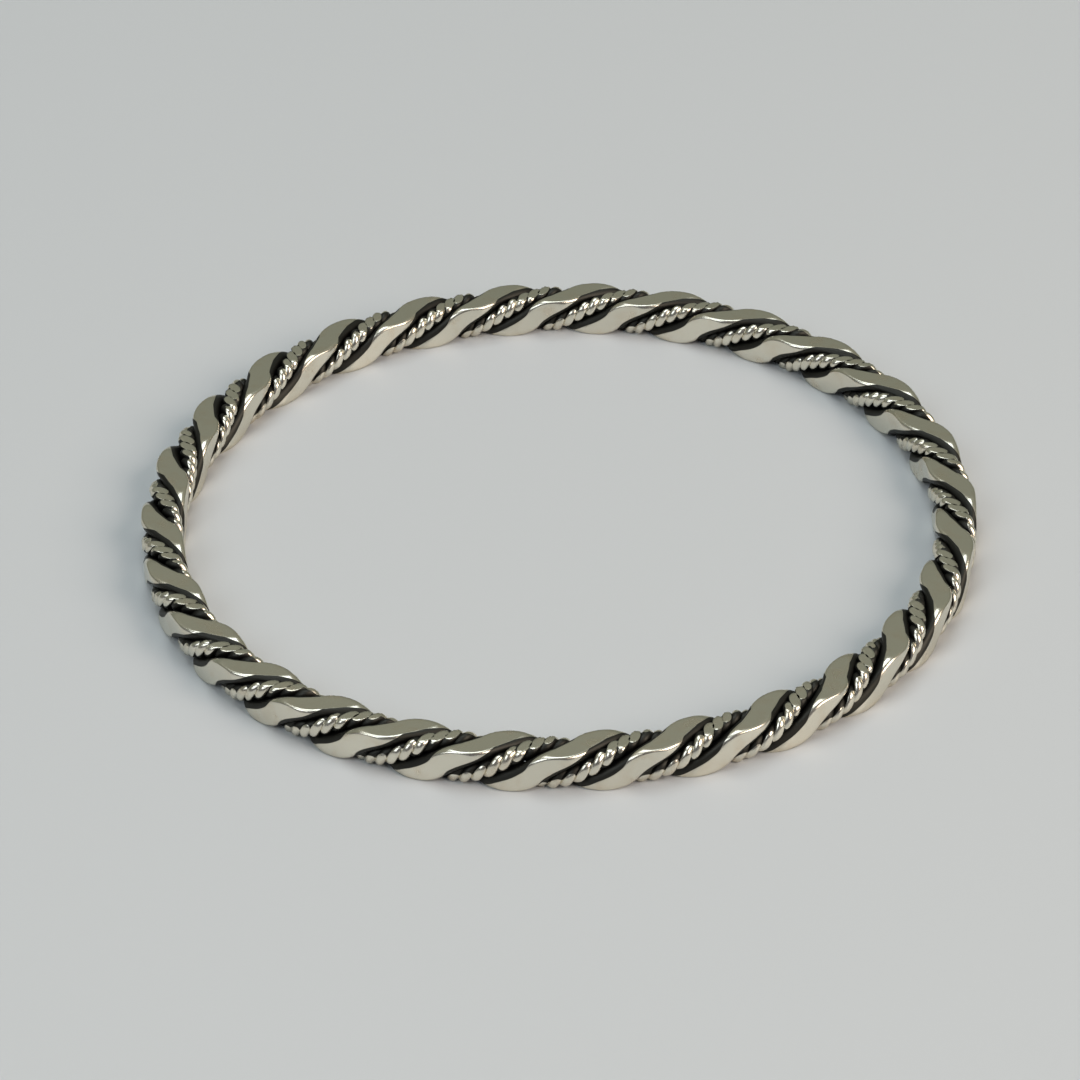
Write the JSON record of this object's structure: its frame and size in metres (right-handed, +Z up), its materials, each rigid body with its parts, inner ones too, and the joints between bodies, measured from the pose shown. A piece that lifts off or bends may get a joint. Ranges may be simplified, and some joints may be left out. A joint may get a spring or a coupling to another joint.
{
  "type": "bangle",
  "caption": "Closed round bangle of square-rolled bar, twisted from plain wires and fine two-ply ropes, polished on its flats and black between the strands.",
  "frame": {"origin": "middle of the ring, on the surface that it lies on", "axes": "+Z up through the ring as it lies on its side; +X to the right and +Y away from a viewer at the picture's side"},
  "size_m": [0.0706, 0.0704, 0.0034],
  "materials": {
    "plain_silver": "polished silver on the flats, blackened at the sides",
    "rope_silver": "polished silver on the crowns of the fine wires, blackened between them"
  },
  "bodies": {
    "root": {"plain_wire": "plain_silver", "twisted_rope": "rope_silver"}
  },
  "joints": []
}
